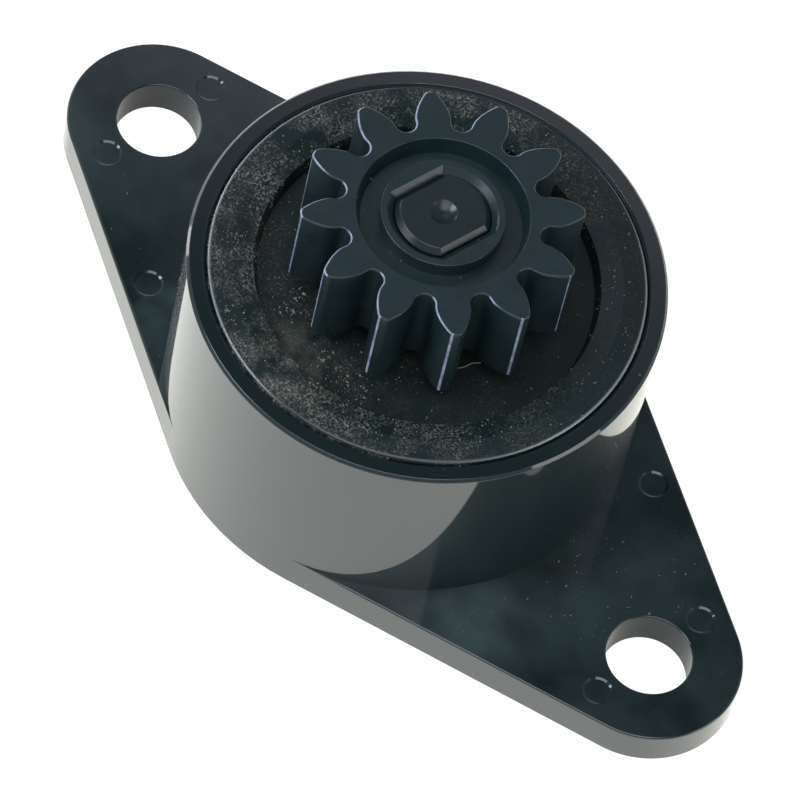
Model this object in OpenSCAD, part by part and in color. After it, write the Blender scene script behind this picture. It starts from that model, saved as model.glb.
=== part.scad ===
// Rotary damper with a pinion. A two-eared moulded case holds a barrel rotor in thick silicone
// fluid, and a spur pinion on the rotor's double-flat shaft takes up the motion to be slowed.
// Millimetres. The origin is the centre of the flange's underside, +Z runs up the shaft and
// +X runs towards one of the fixing holes.

/* [Flange] */
// Distance between the two fixing holes
hole_pitch = 40; // [38:0.5:50]
// Diameter of a fixing hole
hole_d = 4.5; // [3:0.1:6]
// Radius of the round ear about a fixing hole
ear_r = 4.9; // [4.5:0.1:6]
// Thickness of the flange
flange_t = 2.2; // [1.8:0.1:4]
// Diameter of an ejector pin's mark
mark_d = 1.6; // [1:0.1:1.8]
// Depth of an ejector pin's mark
mark_depth = 0.06; // [0.03:0.01:0.15]
// Distance of an ear's marks from the line of the holes
ear_mark_y = 3.55; // [3.3:0.05:3.6]
// Distance of a side mark's centre from the case's wall
side_mark_gap = 1.8; // [1.2:0.1:2]
// Direction of a side mark, from the nearer hole
side_mark_angle = 29; // [20:1:34]

/* [Case] */
// Outside diameter of the case
case_d = 24.8; // [24:0.2:28]
// Height of the case's rim
case_h = 13.1; // [12.5:0.1:16]
// Thickness of the case's floor
floor_t = 1.6; // [1.2:0.1:2.4]
// Thickness of the case's wall beside the fluid
wall_t = 1.8; // [1.6:0.1:2]
// Width of the rim around the cap
rim_w = 1; // [0.8:0.05:1.3]
// Bevel on the rim's outer edge
rim_bevel = 0.15; // [0.05:0.05:0.4]
// Bevel on the rim's inner edge, around the cap
mouth_bevel = 0.15; // [0.05:0.05:0.25]
// Radius of the pivot post
post_r = 2; // [1.5:0.1:2.2]

/* [Damping barrel] */
// Gap between case and rotor that the fluid fills
film = 0.4; // [0.3:0.05:0.5]
// Thickness of the rotor's hub around its bore
barrel_hub_t = 1.35; // [1:0.05:1.6]
// Thickness of the rotor's webs
web_t = 1.5; // [1.2:0.1:1.7]
// Clearance between the fluid's skin and the solid walls
skin_gap = 0.05; // [0.04:0.01:0.06]
// Radial clearance of the rotor on its post and in the cap
run_fit = 0.05; // [0.03:0.01:0.08]

/* [Cap] */
// Height of the cap's face above the case's rim
cap_rise = 0.05; // [0:0.05:0.6]
// Radial clearance of the cap in the case's mouth
cap_fit = 0.04; // [0.02:0.01:0.1]
// Bevel on the cap's outer edge
cap_bevel = 0.15; // [0.05:0.05:0.25]
// Width of the cap's flat band, from its edge
band_w = 1.26; // [0.9:0.02:1.6]
// Width of the slope inside the flat band
slope_w = 1.15; // [0.8:0.05:1.3]
// Drop of that slope
slope_drop = 0.2; // [0.1:0.05:0.5]
// Depth of the dish below the cap's face
dish_depth = 0.9; // [0.7:0.05:1.2]
// How far the dish's wall leans in from the foot of the slope
dish_lean = 0.25; // [0.1:0.05:0.5]
// Thickness of the cap under the dish
cap_plate_t = 1.7; // [1.4:0.1:2]
// Length of the neck below the cap
neck_l = 2; // [1.8:0.1:2.2]
// Thickness of the shaft seal's ring
seal_t = 1.4; // [1:0.05:1.5]
// Clearance around the seal in its gland
seal_fit = 0.05; // [0.02:0.01:0.08]

/* [Shaft] */
// Diameter of the shaft
shaft_d = 4.9; // [4:0.1:5.4]
// Width across the shaft's two flats
flats_w = 3.9; // [3:0.1:4.4]
// Chamfer on the shaft's end
end_chamfer = 0.3; // [0.1:0.05:0.6]
// Radius of the dimple in the shaft's end
dimple_r = 0.75; // [0.4:0.05:1]
// Depth of the dimple
dimple_depth = 0.3; // [0.1:0.05:0.4]
// Turn of the rotor about the shaft's axis
rotor_turn = -5; // [-15:1:15]

/* [Pinion] */
// Module of the teeth
tooth_module = 1; // [0.9:0.05:1.2]
// Number of teeth
teeth = 12; // [11:1:16]
// Pressure angle of the teeth
pressure_angle = 20; // [18:1:22]
// Outward shift of the teeth's profile
profile_shift = 0.27; // [0.2:0.01:0.35]
// Clearance at the tooth's root
root_clearance = 0.25; // [0.2:0.01:0.3]
// Length of the teeth
face_w = 5.4; // [4:0.1:8]
// Gap between the pinion and the cap's face
pinion_gap = 0.25; // [0.05:0.05:0.5]
// Clearance of the pinion on the shaft
pinion_fit = 0.05; // [0.01:0.01:0.08]
// Thickness of the hub around the shaft
hub_t = 0.75; // [0.6:0.05:0.85]
// Thickness left between the groove and the tooth roots
groove_rim = 0.6; // [0.4:0.05:0.65]
// Depth of the groove in the pinion's top
groove_depth = 0.9; // [0.5:0.1:2]
// Lean of the groove's outer wall over its depth
groove_lean = 0.27; // [0.05:0.01:0.35]
// Chamfer in the mouth of the pinion's hole
mouth_chamfer = 0.35; // [0.1:0.05:0.5]

/* [Hidden] */
$fn = 96;
past = 1;

case_r = case_d / 2;
cavity_r = case_r - wall_t;
mouth_r = case_r - rim_w;
cap_r = mouth_r - cap_fit;
band_r = cap_r - band_w;
slope_r = band_r - slope_w;
shaft_r = shaft_d / 2;
bearing_r = shaft_r + run_fit;

// Angle on the case and the ears where the flange's straight sides touch them
tangent_angle = acos((case_r - ear_r) / (hole_pitch / 2));

// Heights, worked down from the cap's face and up from the floor
cap_top = case_h + cap_rise;
dish_floor = cap_top - dish_depth;
cap_seat = dish_floor - cap_plate_t;
neck_end = cap_seat - neck_l;
gland_top = neck_end + seal_t + 2 * seal_fit;
rotor_top = cap_seat - film;
rotor_base = floor_t + film;
pit_floor = neck_end - film;
inner_web = pit_floor - web_t;
outer_web = rotor_top - web_t;
inner_ring_top = inner_web - film;
outer_ring_top = outer_web - film;
post_top = inner_web - run_fit;
pinion_base = cap_top + pinion_gap;
pinion_top = pinion_base + face_w;

// Radii of the case's rings and the rotor's skirts, which share the room from hub to wall
barrel_bore_r = post_r + run_fit;
barrel_hub_r = barrel_bore_r + barrel_hub_t;
ring_t = (cavity_r - barrel_hub_r - 5 * film) / 4;
ring_pitch = ring_t + film;
function ring_radii(k) = [barrel_hub_r + film + k * ring_pitch, barrel_hub_r + (k + 1) * ring_pitch];
inner_ring = ring_radii(0);
inner_skirt = ring_radii(1);
outer_ring = ring_radii(2);
outer_skirt = ring_radii(3);
neck_r = inner_skirt[0] - film;
gland_r = bearing_r + seal_t + seal_fit;

// Tooth form
pitch_r = tooth_module * teeth / 2;
base_r = pitch_r * cos(pressure_angle);
tip_r = pitch_r + tooth_module + profile_shift;
root_r = pitch_r - tooth_module - root_clearance + profile_shift;
step_angle = 360 / teeth;
hub_r = shaft_r + hub_t;
groove_r = root_r - groove_rim;

// Polar angle that an involute has turned through at radius r
function unwind(r) = sqrt(max(0, pow(r / base_r, 2) - 1));
function involute(r) = unwind(r) * 180 / PI - atan(unwind(r));

// Half the angle that a tooth covers at the pitch circle, and at radius r
pitch_half = step_angle / 4 + profile_shift * tan(pressure_angle) / pitch_r * 180 / PI;
function tooth_half(r) = pitch_half + involute(pitch_r) - involute(r);

function polar(r, a) = [r * cos(a), r * sin(a)];

// The round bottom of a tooth space, which touches both walls and the root circle
space_half = step_angle / 2 - tooth_half(base_r);
space_round = root_r * sin(space_half) / (1 - sin(space_half));
function space_point(a) = polar(root_r + space_round, step_angle / 2) + polar(space_round, a);

flank_steps = 7;
round_steps = 8;

// One tooth and the space after it, anticlockwise
function tooth_outline() = concat(
    [for (i = [0:flank_steps])
        let (r = base_r + (tip_r - base_r) * i / flank_steps)
        polar(r, -tooth_half(r))],
    [polar(tip_r, 0)],
    [for (i = [flank_steps:-1:0])
        let (r = base_r + (tip_r - base_r) * i / flank_steps)
        polar(r, tooth_half(r))],
    [for (i = [0:round_steps])
        let (half_sweep = 90 - space_half)
        space_point(step_angle / 2 + 180 + half_sweep * (1 - 2 * i / round_steps))]
);

function turned(p, a) = [p[0] * cos(a) - p[1] * sin(a), p[0] * sin(a) + p[1] * cos(a)];

// Section of the rotor to the right of the axis, grown by g
function rotor_section(g) = [
    [0, inner_web - g],
    [barrel_bore_r - g, inner_web - g],
    [barrel_bore_r - g, rotor_base - g],
    [barrel_hub_r + g, rotor_base - g],
    [barrel_hub_r + g, inner_web - g],
    [inner_skirt[0] - g, inner_web - g],
    [inner_skirt[0] - g, rotor_base - g],
    [inner_skirt[1] + g, rotor_base - g],
    [inner_skirt[1] + g, outer_web - g],
    [outer_skirt[0] - g, outer_web - g],
    [outer_skirt[0] - g, rotor_base - g],
    [outer_skirt[1] + g, rotor_base - g],
    [outer_skirt[1] + g, rotor_top + g],
    [inner_skirt[0] - g, rotor_top + g],
    [inner_skirt[0] - g, pit_floor + g],
    [shaft_r + g, pit_floor + g],
    [shaft_r + g, pinion_base],
    [0, pinion_base]
];

// A ring's section, grown by g
module ring_section(radii, bottom, top, g) {
    translate([radii[0] - g, bottom - g])
        square([radii[1] - radii[0] + 2 * g, top - bottom + 2 * g]);
}

// The flange's outline: the case's circle and two ears, joined by straight tangent sides
module flange_outline() {
    circle(r = case_r);
    for (side = [-1, 1])
        translate([side * hole_pitch / 2, 0]) circle(r = ear_r);
    corner = polar(case_r, tangent_angle);
    ear_corner = polar(ear_r, tangent_angle) + [hole_pitch / 2, 0];
    polygon([
        ear_corner,
        corner,
        [-corner[0], corner[1]],
        [-ear_corner[0], ear_corner[1]],
        -ear_corner,
        -corner,
        [corner[0], -corner[1]],
        [ear_corner[0], -ear_corner[1]]
    ]);
}

// Shallow round marks left by the mould's ejector pins on the flange's top
module ejector_marks() {
    for (side = [-1, 1]) {
        for (edge = [-1, 1])
            translate([side * hole_pitch / 2, edge * ear_mark_y, flange_t - mark_depth])
                cylinder(d = mark_d, h = past);
        rotate(side_mark_angle)
            translate([side * (case_r + side_mark_gap), 0, flange_t - mark_depth])
                cylinder(d = mark_d, h = past);
    }
}

// A bar with two flats whose top end narrows or, with a negative chamfer, flares at 45 degrees
module flatted_bar(r, half_w, bottom, top, chamfer) {
    knee = top - abs(chamfer);
    intersection() {
        rotate_extrude()
            polygon([[0, bottom], [r, bottom], [r, knee], [r - chamfer, top], [0, top]]);
        rotate([90, 0, 0])
            linear_extrude(height = 4 * r, center = true)
                polygon([
                    [-half_w, bottom],
                    [half_w, bottom],
                    [half_w, knee],
                    [half_w - chamfer, top],
                    [chamfer - half_w, top],
                    [-half_w, knee]
                ]);
    }
}

// Moulded cup with the flange, the pivot post and the two upright rings
module case() {
    color("#1a1b1d") difference() {
        union() {
            linear_extrude(height = flange_t) flange_outline();
            rotate_extrude()
                polygon([
                    [0, 0],
                    [case_r, 0],
                    [case_r, case_h - rim_bevel],
                    [case_r - rim_bevel, case_h],
                    [0, case_h]
                ]);
        }
        rotate_extrude()
            polygon([
                [0, post_top],
                [post_r, post_top],
                [post_r, floor_t],
                [inner_ring[0], floor_t],
                [inner_ring[0], inner_ring_top],
                [inner_ring[1], inner_ring_top],
                [inner_ring[1], floor_t],
                [outer_ring[0], floor_t],
                [outer_ring[0], outer_ring_top],
                [outer_ring[1], outer_ring_top],
                [outer_ring[1], floor_t],
                [cavity_r, floor_t],
                [cavity_r, cap_seat],
                [mouth_r, cap_seat],
                [mouth_r, case_h - mouth_bevel],
                [mouth_r + mouth_bevel, case_h],
                [mouth_r + mouth_bevel, case_h + past],
                [0, case_h + past]
            ]);
        for (side = [-1, 1])
            translate([side * hole_pitch / 2, 0, -past])
                cylinder(d = hole_d, h = flange_t + 2 * past);
        ejector_marks();
    }
}

// Moulded cap with a dished face, the shaft's bearing and a neck with the seal's gland
module cap() {
    color("#222325") rotate_extrude()
        polygon([
            [gland_r, neck_end],
            [neck_r, neck_end],
            [neck_r, cap_seat],
            [cap_r, cap_seat],
            [cap_r, cap_top - cap_bevel],
            [cap_r - cap_bevel, cap_top],
            [band_r, cap_top],
            [slope_r, cap_top - slope_drop],
            [slope_r - dish_lean, dish_floor],
            [bearing_r, dish_floor],
            [bearing_r, gland_top],
            [gland_r, gland_top]
        ]);
}

// Rubber ring between the shaft and the cap's gland
module shaft_seal() {
    color("#3a3a3a") translate([0, 0, (neck_end + gland_top) / 2]) rotate_extrude()
        translate([bearing_r + seal_t / 2, 0]) circle(d = seal_t);
}

// The silicone fluid, as the film that it forms between the case, the cap and the rotor
module damping_fluid() {
    color("#d8dad6") rotate_extrude() difference() {
        ring_section([post_r, cavity_r], floor_t, cap_seat, -skin_gap);
        ring_section(inner_ring, floor_t, inner_ring_top, skin_gap);
        ring_section(outer_ring, floor_t, outer_ring_top, skin_gap);
        ring_section([0, neck_r], neck_end, cap_seat, skin_gap);
        polygon(rotor_section(skin_gap));
    }
}

// Moulded barrel with its skirts, the round journal and the double-flat shaft end
module rotor() {
    dimple_ball_r = (pow(dimple_r, 2) + pow(dimple_depth, 2)) / (2 * dimple_depth);
    color("#202225") rotate(rotor_turn) difference() {
        union() {
            rotate_extrude() polygon(rotor_section(0));
            flatted_bar(shaft_r, flats_w / 2, pit_floor, pinion_top, end_chamfer);
        }
        translate([0, 0, pinion_top - dimple_depth + dimple_ball_r]) sphere(r = dimple_ball_r);
    }
}

// Moulded spur pinion on the shaft's flats, with a groove around its hub
module pinion() {
    color("#26282c") rotate(rotor_turn) difference() {
        translate([0, 0, pinion_base]) linear_extrude(height = face_w)
            polygon([for (k = [0:teeth - 1], p = tooth_outline()) turned(p, k * step_angle)]);
        translate([0, 0, pinion_top]) rotate_extrude()
            polygon([
                [hub_r, past],
                [hub_r, -groove_depth],
                [groove_r - groove_lean, -groove_depth],
                [groove_r, 0],
                [groove_r, past]
            ]);
        flatted_bar(
            shaft_r + pinion_fit,
            flats_w / 2 + pinion_fit,
            pinion_base - past,
            pinion_top + past,
            -mouth_chamfer - past
        );
    }
}

case();
cap();
shaft_seal();
damping_fluid();
rotor();
pinion();
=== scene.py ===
# A gear-type rotary damper, dressed for a picture: a glossy black case with a two-eared flange,
# a matt dusty cap let into its mouth, and a satin pinion pressed on the shaft that comes through.
import math

import bmesh
import bpy
from mathutils import Matrix, Vector


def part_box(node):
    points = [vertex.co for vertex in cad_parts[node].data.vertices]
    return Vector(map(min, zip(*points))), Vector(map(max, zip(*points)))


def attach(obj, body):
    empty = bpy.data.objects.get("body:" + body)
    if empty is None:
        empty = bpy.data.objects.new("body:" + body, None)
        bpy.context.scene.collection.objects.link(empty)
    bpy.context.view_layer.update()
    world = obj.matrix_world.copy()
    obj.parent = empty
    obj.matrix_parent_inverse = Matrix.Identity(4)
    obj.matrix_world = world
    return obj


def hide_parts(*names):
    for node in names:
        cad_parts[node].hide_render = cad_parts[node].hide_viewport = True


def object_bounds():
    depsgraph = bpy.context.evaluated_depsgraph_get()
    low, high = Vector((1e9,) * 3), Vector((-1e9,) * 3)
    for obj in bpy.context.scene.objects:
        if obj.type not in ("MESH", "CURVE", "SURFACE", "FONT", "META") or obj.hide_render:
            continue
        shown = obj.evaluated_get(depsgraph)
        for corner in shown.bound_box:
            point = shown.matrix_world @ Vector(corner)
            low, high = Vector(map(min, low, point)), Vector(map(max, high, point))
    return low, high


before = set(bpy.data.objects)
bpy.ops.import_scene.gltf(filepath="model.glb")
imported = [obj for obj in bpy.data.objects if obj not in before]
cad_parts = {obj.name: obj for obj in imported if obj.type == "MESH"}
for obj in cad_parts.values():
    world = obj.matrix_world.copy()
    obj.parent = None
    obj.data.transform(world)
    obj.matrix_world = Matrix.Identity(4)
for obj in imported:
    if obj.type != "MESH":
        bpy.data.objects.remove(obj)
cad_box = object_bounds()

# Case
# One injection moulding of black polycarbonate: a cup, a flange with two ears, and the rings inside.
# Its polished mould leaves a mirror-like skin, and the ejector pins leave faint round marks.
MM = 0.001
hair = 0.005 * MM
weld = hair / 5
cad_weld = 0.0001 * MM
case_r = 12.4 * MM
mouth_r = 11.4 * MM
rim_bevel = 0.15 * MM
ear_r = 4.9 * MM
hole_r = 2.25 * MM
hole_pitch = 40 * MM
flange_top = 2.2 * MM
mark_r = 0.8 * MM
mark_depth = 0.06 * MM
mark_slope = 2 * mark_depth
ear_mark_y = 3.55 * MM
side_mark_r = case_r + 1.8 * MM
side_mark_angle = math.radians(29)
flange_round = 0.12 * MM
hole_round = 0.08 * MM
rim_round = 0.06 * MM
run_out_length = 4 * flange_round
round_steps = 4
straight_steps = 16
ear_steps = 48
hole_steps = 64
corner_gap = 0.001
wall_lean = 0.02
sharp_angle = math.radians(25)


def linear(hex_colour):
    """An sRGB hex colour as linear red, green, blue and alpha."""
    parts = [int(hex_colour[i:i + 2], 16) / 255 for i in (1, 3, 5)]
    return [c / 12.92 if c <= 0.04045 else ((c + 0.055) / 1.055) ** 2.4 for c in parts] + [1]


def add(tree, kind, inputs=None, **settings):
    """Adds a node; each input takes a value, or a link where an output socket is given."""
    node = tree.nodes.new(kind)
    for name, value in settings.items():
        setattr(node, name, value)
    for key, value in (inputs or {}).items():
        if isinstance(value, bpy.types.NodeSocket):
            tree.links.new(value, node.inputs[key])
        else:
            node.inputs[key].default_value = value
    return node


def new_material(name):
    """An empty node material, its tree and its output node."""
    material = bpy.data.materials.new(name)
    material.use_nodes = True
    material.node_tree.nodes.clear()
    return material, material.node_tree, add(material.node_tree, "ShaderNodeOutputMaterial")


def cad_copy(node):
    """The mesh of a CAD node with its doubled vertices merged."""
    shape = bmesh.new()
    shape.from_mesh(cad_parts[node].data)
    bmesh.ops.remove_doubles(shape, verts=shape.verts, dist=cad_weld)
    return shape


def polar(radius, angle):
    """A point of the plane, by its distance from the axis and its angle."""
    return Vector((radius * math.cos(angle), radius * math.sin(angle)))


def quarter_round(radius):
    """Steps of a quarter round, as pairs of how far in and how far down from the sharp corner."""
    angles = [math.pi / 2 * i / round_steps for i in range(round_steps + 1)]
    return [(radius * (1 - math.cos(a)), radius * (1 - math.sin(a))) for a in angles]


def fillet(before, corner, after, radius):
    """The arc that rounds a corner between two straight lines."""
    ways = [(p - corner).normalized() for p in (before, after)]
    half_angle = ways[0].angle(ways[1]) / 2
    centre = corner + (ways[0] + ways[1]).normalized() * radius / math.sin(half_angle)
    first = corner + ways[0] * radius / math.tan(half_angle) - centre
    sweep = math.copysign(math.pi - 2 * half_angle, -ways[0].cross(ways[1]))
    return [
        centre + Matrix.Rotation(sweep * i / round_steps, 2) @ first
        for i in range(round_steps + 1)
    ]


def inset(points, before, after, distances):
    """The outline moved inwards by a distance at each point, given the points before and after it."""
    chain = [before, *points, after]
    moved = []
    for a, b, c, distance in zip(chain, chain[1:], chain[2:], distances):
        ways = [(b - a).normalized(), (c - b).normalized()]
        inward = (ways[0] + ways[1]).orthogonal().normalized()
        moved.append(b + inward * distance / ways[0].orthogonal().dot(inward))
    return moved


def snapped(angles, corners):
    """The angles, with the one nearest to each corner moved on to it."""
    moved = list(angles)
    for corner in corners:
        off = [abs(math.remainder(a - corner, 2 * math.pi)) for a in moved]
        moved[off.index(min(off))] = corner
    return moved


def add_ring(shape, radius, z, angles, centre=Vector((0, 0))):
    """A ring of vertices at a height, one at each angle."""
    return [shape.verts.new((*(centre + polar(radius, a)), z)) for a in angles]


def add_strip(shape, upper, lower, closed=False):
    """Quads between two rows of vertices of equal length."""
    if closed:
        upper, lower = upper + upper[:1], lower + lower[:1]
    return [
        shape.faces.new((a, b, c, d))
        for a, b, c, d in zip(upper, lower, lower[1:], upper[1:])
    ]


def new_piece(name, shape, *materials, crease=sharp_angle):
    """An object of the mesh, shaded so that rounds look round and flat faces stay flat.

    A corner's normal is the mean over the faces within the crease, by the cube of their areas.
    """
    mesh = bpy.data.meshes.new(name)
    shape.to_mesh(mesh)
    shape.free()
    for material in materials:
        mesh.materials.append(material)
    piece = bpy.data.objects.new(name, mesh)
    bpy.context.scene.collection.objects.link(piece)
    mesh.shade_smooth()
    around = [[] for v in mesh.vertices]
    for face in mesh.polygons:
        for v in face.vertices:
            around[v].append((face.normal.copy(), (face.area / MM ** 2) ** 3))
    normals = []
    for face in mesh.polygons:
        for v in face.vertices:
            near = [n * weight for n, weight in around[v] if n.angle(face.normal, 0) < crease]
            normals.append(sum(near, Vector((0, 0, 0))).normalized())
    mesh.normals_split_custom_set(normals)
    return piece


def round_wall(mesh, centre_x, radius):
    """Points a round wall's normals straight out of it, so that it mirrors without ripples."""
    normals = [n.vector.copy() for n in mesh.corner_normals]
    centre = Vector((centre_x, 0))
    for face in mesh.polygons:
        spokes = [mesh.vertices[v].co.xy - centre for v in face.vertices]
        if abs(face.normal.z) > wall_lean or any(abs(s.length - radius) > hair for s in spokes):
            continue
        way = math.copysign(1, spokes[0].dot(face.normal.xy))
        for loop, spoke in zip(face.loop_indices, spokes):
            normals[loop] = Vector((*spoke, 0)).normalized() * way
    mesh.normals_split_custom_set(normals)


def stand_for(piece, node, body):
    """The piece takes a CAD node's place and rides on its body."""
    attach(piece, body)
    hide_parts(node)


# The inside of the cup stays as drawn; the wall and the rim are spun on to its mouth
case_shape = cad_copy("case")
outside = [
    f for f in case_shape.faces
    if any(v.co.z < hair or v.co.xy.length > mouth_r + hair for v in f.verts)
]
bmesh.ops.delete(case_shape, geom=outside, context="FACES")
mouth = [v for v in case_shape.verts if v.is_boundary]
mouth.sort(key=lambda v: math.atan2(v.co.y, v.co.x))
rim_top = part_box("case")[1].z
tangent = math.acos((case_r - ear_r) / (hole_pitch / 2))
wall_angles = snapped(
    [math.atan2(v.co.y, v.co.x) for v in mouth],
    [tangent, math.pi - tangent, -tangent, tangent - math.pi])
profile = [
    Vector((case_r, flange_top)), Vector((case_r, rim_top - rim_bevel)),
    Vector((case_r - rim_bevel, rim_top)), Vector((mouth_r + rim_bevel, rim_top)),
    Vector((mouth_r, rim_top - rim_bevel))]
rounded = profile[:1]
for before, corner, after in zip(profile, profile[1:], profile[2:]):
    rounded += fillet(before, corner, after, rim_round)
wall_rows = [add_ring(case_shape, p.x, p.y, wall_angles) for p in rounded] + [mouth]
for lower, upper in zip(wall_rows, wall_rows[1:]):
    add_strip(case_shape, upper, lower, closed=True)

# The flange's edge is lofted round its outline; its top round runs out where it meets the wall
ear = Vector((hole_pitch / 2, 0))
side = [
    polar(case_r, tangent).lerp(ear + polar(ear_r, tangent), (i / straight_steps) ** 2)
    for i in range(straight_steps)
]
arc = [ear + polar(ear_r, tangent * (2 * i / ear_steps - 1)) for i in range(ear_steps + 1)]
right_ear = [Vector((p.x, -p.y)) for p in side] + arc + side[::-1]
bare_back = [
    polar(case_r, a) for a in wall_angles
    if tangent + corner_gap < a < math.pi - tangent - corner_gap
]
bare_front = [
    polar(case_r, a) for a in wall_angles
    if tangent - math.pi + corner_gap < a < -tangent - corner_gap
]
outline = right_ear + bare_back + [-p for p in right_ear] + bare_front
run_out = [min(1, max(0, p.length - case_r) / run_out_length) for p in outline]
edge_rows = []
for inwards, up in reversed(quarter_round(flange_round)):
    row = inset(outline, outline[-1], outline[0], [inwards] * len(outline))
    edge_rows.append([case_shape.verts.new((*p, up)) for p in row])
for inwards, down in quarter_round(flange_round):
    row = inset(outline, outline[-1], outline[0], [inwards * share for share in run_out])
    edge_rows.append([
        case_shape.verts.new((*p, flange_top - down * share)) for p, share in zip(row, run_out)])
for lower, upper in zip(edge_rows, edge_rows[1:]):
    add_strip(case_shape, upper, lower, closed=True)

# A hole and three ejector marks in each ear, and then the flat faces between all those edges
hole_angles = [2 * math.pi * i / hole_steps for i in range(hole_steps)]
mark_angles = hole_angles[::2]
for way in (-1, 1):
    rounds = quarter_round(hole_round)
    hole_rows = [
        add_ring(case_shape, hole_r + out, flange_top - down, hole_angles, way * ear)
        for out, down in reversed(rounds)
    ]
    hole_rows += [
        add_ring(case_shape, hole_r + out, up, hole_angles, way * ear) for out, up in rounds]
    for upper, lower in zip(hole_rows, hole_rows[1:]):
        add_strip(case_shape, upper, lower, closed=True)
    for mark_place in (
            way * ear + Vector((0, ear_mark_y)), way * ear - Vector((0, ear_mark_y)),
            way * polar(side_mark_r, side_mark_angle)):
        brim = add_ring(case_shape, mark_r, flange_top, mark_angles, mark_place)
        mark_floor = add_ring(
            case_shape, mark_r - mark_slope, flange_top - mark_depth, mark_angles, mark_place)
        add_strip(case_shape, brim, mark_floor, closed=True)
        case_shape.faces.new(mark_floor)
bmesh.ops.remove_doubles(case_shape, verts=case_shape.verts, dist=weld)
for level in (0, flange_top):
    for way in (-1, 1):
        border = [
            e for e in case_shape.edges if e.is_boundary
            and all(abs(v.co.z - level) < hair and (level == 0 or v.co.x * way > 0) for v in e.verts)
        ]
        bmesh.ops.triangle_fill(case_shape, edges=border, use_beauty=True, normal=(0, 0, 1))
bmesh.ops.recalc_face_normals(case_shape, faces=case_shape.faces)

# Polished polycarbonate: a hard clear skin that mirrors the table, over a black with a green cast.
# The upright walls are a shade greyer than the tops, and handling leaves a dull grey haze a few
# millimetres wide on what faces up.
polycarbonate, tree, output = new_material("moulded_black_polycarbonate")
place = add(tree, "ShaderNodeTexCoord").outputs["Object"]
smudge = add(tree, "ShaderNodeTexNoise", {
    "Vector": place, "Scale": 1 / (5 * MM), "Detail": 5, "Roughness": 0.55})
smudge_amount = add(tree, "ShaderNodeMapRange", {
    "Value": smudge.outputs["Fac"], "From Min": 0.35, "From Max": 0.8, "To Max": 0.5})
# Two thumbed places: their middle and reach in millimetres, and how much they thicken the haze
for spot, reach, more in (((12.8, -6.4, 2.2), 3.5, 2.6), ((-10.7, -7.3, 2.2), 3, 4)):
    off = add(tree, "ShaderNodeVectorMath", {0: place, 1: Vector(spot) * MM}, operation="DISTANCE")
    thumbed = add(tree, "ShaderNodeMapRange", {
        "Value": off.outputs["Value"], "From Max": reach * MM, "To Min": more, "To Max": 1})
    smudge_amount = add(tree, "ShaderNodeMath", {
        0: smudge_amount.outputs[0], 1: thumbed.outputs[0]}, operation="MULTIPLY")
facing = add(tree, "ShaderNodeSeparateXYZ", {
    "Vector": add(tree, "ShaderNodeNewGeometry").outputs["Normal"]})
faces_up = add(tree, "ShaderNodeMapRange", {
    "Value": facing.outputs["Z"], "From Min": 0.7, "From Max": 0.95})
low = add(tree, "ShaderNodeMapRange", {
    "Value": add(tree, "ShaderNodeSeparateXYZ", {"Vector": place}).outputs["Z"],
    "From Min": flange_top + 1 * MM, "From Max": flange_top + 2 * MM, "To Min": 1, "To Max": 0.1})
flat = add(tree, "ShaderNodeMath", {0: low.outputs[0], 1: faces_up.outputs[0]},
           operation="MULTIPLY")
haze = add(tree, "ShaderNodeMath", {0: smudge_amount.outputs[0], 1: flat.outputs[0]},
           operation="MULTIPLY")
wall_or_top = add(tree, "ShaderNodeMix", {
    0: faces_up.outputs[0], 6: linear("#142425"), 7: linear("#041010")}, data_type="RGBA")
tint = add(tree, "ShaderNodeMix", {
    0: haze.outputs[0], 6: wall_or_top.outputs[2], 7: linear("#404e4e")}, data_type="RGBA")
wave = add(tree, "ShaderNodeTexNoise", {"Vector": place, "Scale": 1 / (6 * MM), "Detail": 1})
ripple = add(tree, "ShaderNodeBump", {
    "Height": wave.outputs["Fac"], "Strength": 0.05, "Distance": 0.05 * MM})
skin = add(tree, "ShaderNodeBsdfPrincipled", {
    "Base Color": tint.outputs[2], "Roughness": 0.5, "Specular IOR Level": 0.15,
    "Coat Weight": 1, "Coat IOR": 1.585, "Coat Roughness": 0.05,
    "Normal": ripple.outputs[0]})
tree.links.new(skin.outputs[0], output.inputs["Surface"])

case_piece = new_piece("case_moulding", case_shape, polycarbonate)
round_wall(case_piece.data, 0, case_r)
for way in (-1, 1):
    round_wall(case_piece.data, way * ear.x, ear_r)
    round_wall(case_piece.data, way * ear.x, hole_r)
stand_for(case_piece, "case", "housing")

# Rotor
# One moulding of black acetal: the barrel with its skirts, the journal and the double-flat shaft.
# It spins in the fluid, and only the shaft's chamfered end with its centre dimple shows.
shaft_round = 0.04 * MM
shaft_end_depth = 0.4 * MM
flat_angle = math.radians(0.5)
shaft_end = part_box("rotor")[1].z


def round_edges(shape, radius, chosen):
    """Rounds the sharp outward edges whose two ends both pass the test."""
    bmesh.ops.dissolve_limit(
        shape, angle_limit=flat_angle, verts=shape.verts, edges=shape.edges)
    edges = [
        e for e in shape.edges
        if e.calc_face_angle_signed() > sharp_angle and all(chosen(v.co) for v in e.verts)
    ]
    bmesh.ops.bevel(
        shape, geom=edges, offset=radius, segments=round_steps, profile=0.5, affect="EDGES")


rotor_shape = cad_copy("rotor")
round_edges(rotor_shape, shaft_round, lambda co: co.z > shaft_end - shaft_end_depth)


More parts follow.
